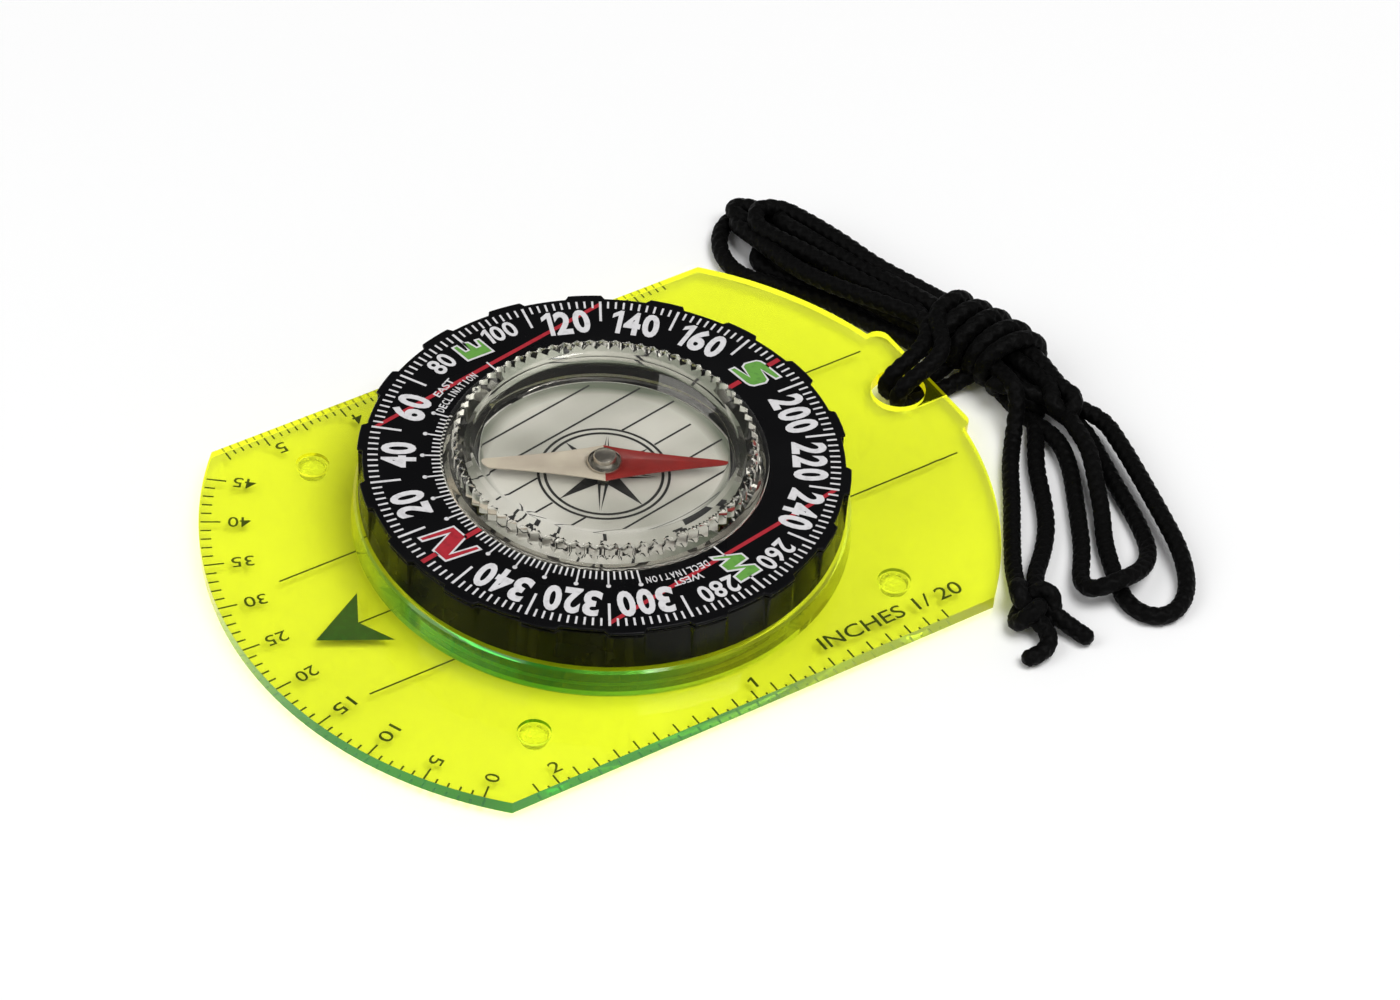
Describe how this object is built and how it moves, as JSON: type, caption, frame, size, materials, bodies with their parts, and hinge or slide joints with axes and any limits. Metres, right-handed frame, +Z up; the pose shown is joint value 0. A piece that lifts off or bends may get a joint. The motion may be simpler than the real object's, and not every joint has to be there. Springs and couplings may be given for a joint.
{
  "type": "baseplate compass",
  "caption": "Flat clear orienteering compass: a baseplate with a turning bezel, a liquid capsule with a dial card and magnetic needle, and a folded wrist lanyard.",
  "frame": {"origin": "on the surface the feet stand on, under the middle of the plate's box (lanyard not counted)", "axes": "+Y is the direction of travel, +X the side with the centimetre scale, +Z up out of the dial"},
  "size_m": [0.0835, 0.1057, 0.0147],
  "materials": {
    "fluorescent_acrylic": "clear fluorescent yellow-green acrylic, polished, edges glow green, fine dark green print",
    "silicone": "clear soft silicone",
    "smoke_acrylic": "translucent smoke acrylic, glossy",
    "dial_print": "gloss black with white degree marks, red and green letters",
    "natural_nylon": "natural moulded nylon",
    "seal_rubber": "black rubber",
    "clear_acrylic": "clear polished acrylic",
    "silver_card": "satin silver-grey card with fine black lines",
    "pivot_steel": "hardened steel",
    "needle_paint": "north half red, south half ivory",
    "hub_nickel": "bright nickel plating",
    "jewel": "polished synthetic ruby",
    "braided_nylon": "black braided nylon cord"
  },
  "bodies": {
    "base": {"baseplate": "fluorescent_acrylic", "foot_front_left": "silicone", "foot_front_right": "silicone", "foot_rear_left": "silicone", "foot_rear_right": "silicone", "friction_ring": "seal_rubber", "lanyard_eye_left": "braided_nylon", "lanyard_eye_right": "braided_nylon", "lanyard_hank": "braided_nylon", "lanyard_wrap": "braided_nylon", "lanyard_side_loop": "braided_nylon", "lanyard_loop_inner": "braided_nylon", "lanyard_loop_outer": "braided_nylon", "lanyard_end_left": "braided_nylon", "lanyard_end_right": "braided_nylon", "lanyard_end_knot": "braided_nylon", "lanyard_tail_front": "braided_nylon", "lanyard_tail_back": "braided_nylon"},
    "bezel": {"bezel_ring": "smoke_acrylic", "dial_scale_ring": "dial_print", "bezel_retaining_ring": "natural_nylon"},
    "capsule": {"capsule_top": "clear_acrylic", "capsule_base": "clear_acrylic", "dial_card": "silver_card", "fill_plug": "seal_rubber", "pivot_pin": "pivot_steel"},
    "needle": {"needle": "needle_paint", "needle_hub": "hub_nickel", "needle_jewel": "jewel"}
  },
  "joints": [
    {"name": "bezel_turn", "type": "hinge", "parent": "base", "child": "bezel", "pos_m": [0.00075, 0.00035, 0.0066], "axis": [0, 0, 1], "continuous": true},
    {"name": "capsule_declination", "type": "hinge", "parent": "bezel", "child": "capsule", "pos_m": [0.00075, 0.00035, 0.0113], "axis": [0, 0, 1], "range_deg": [-60, 60]},
    {"name": "needle_swing", "type": "hinge", "parent": "capsule", "child": "needle", "pos_m": [0.00075, 0.00035, 0.0091], "axis": [0, 0, 1], "continuous": true}
  ]
}
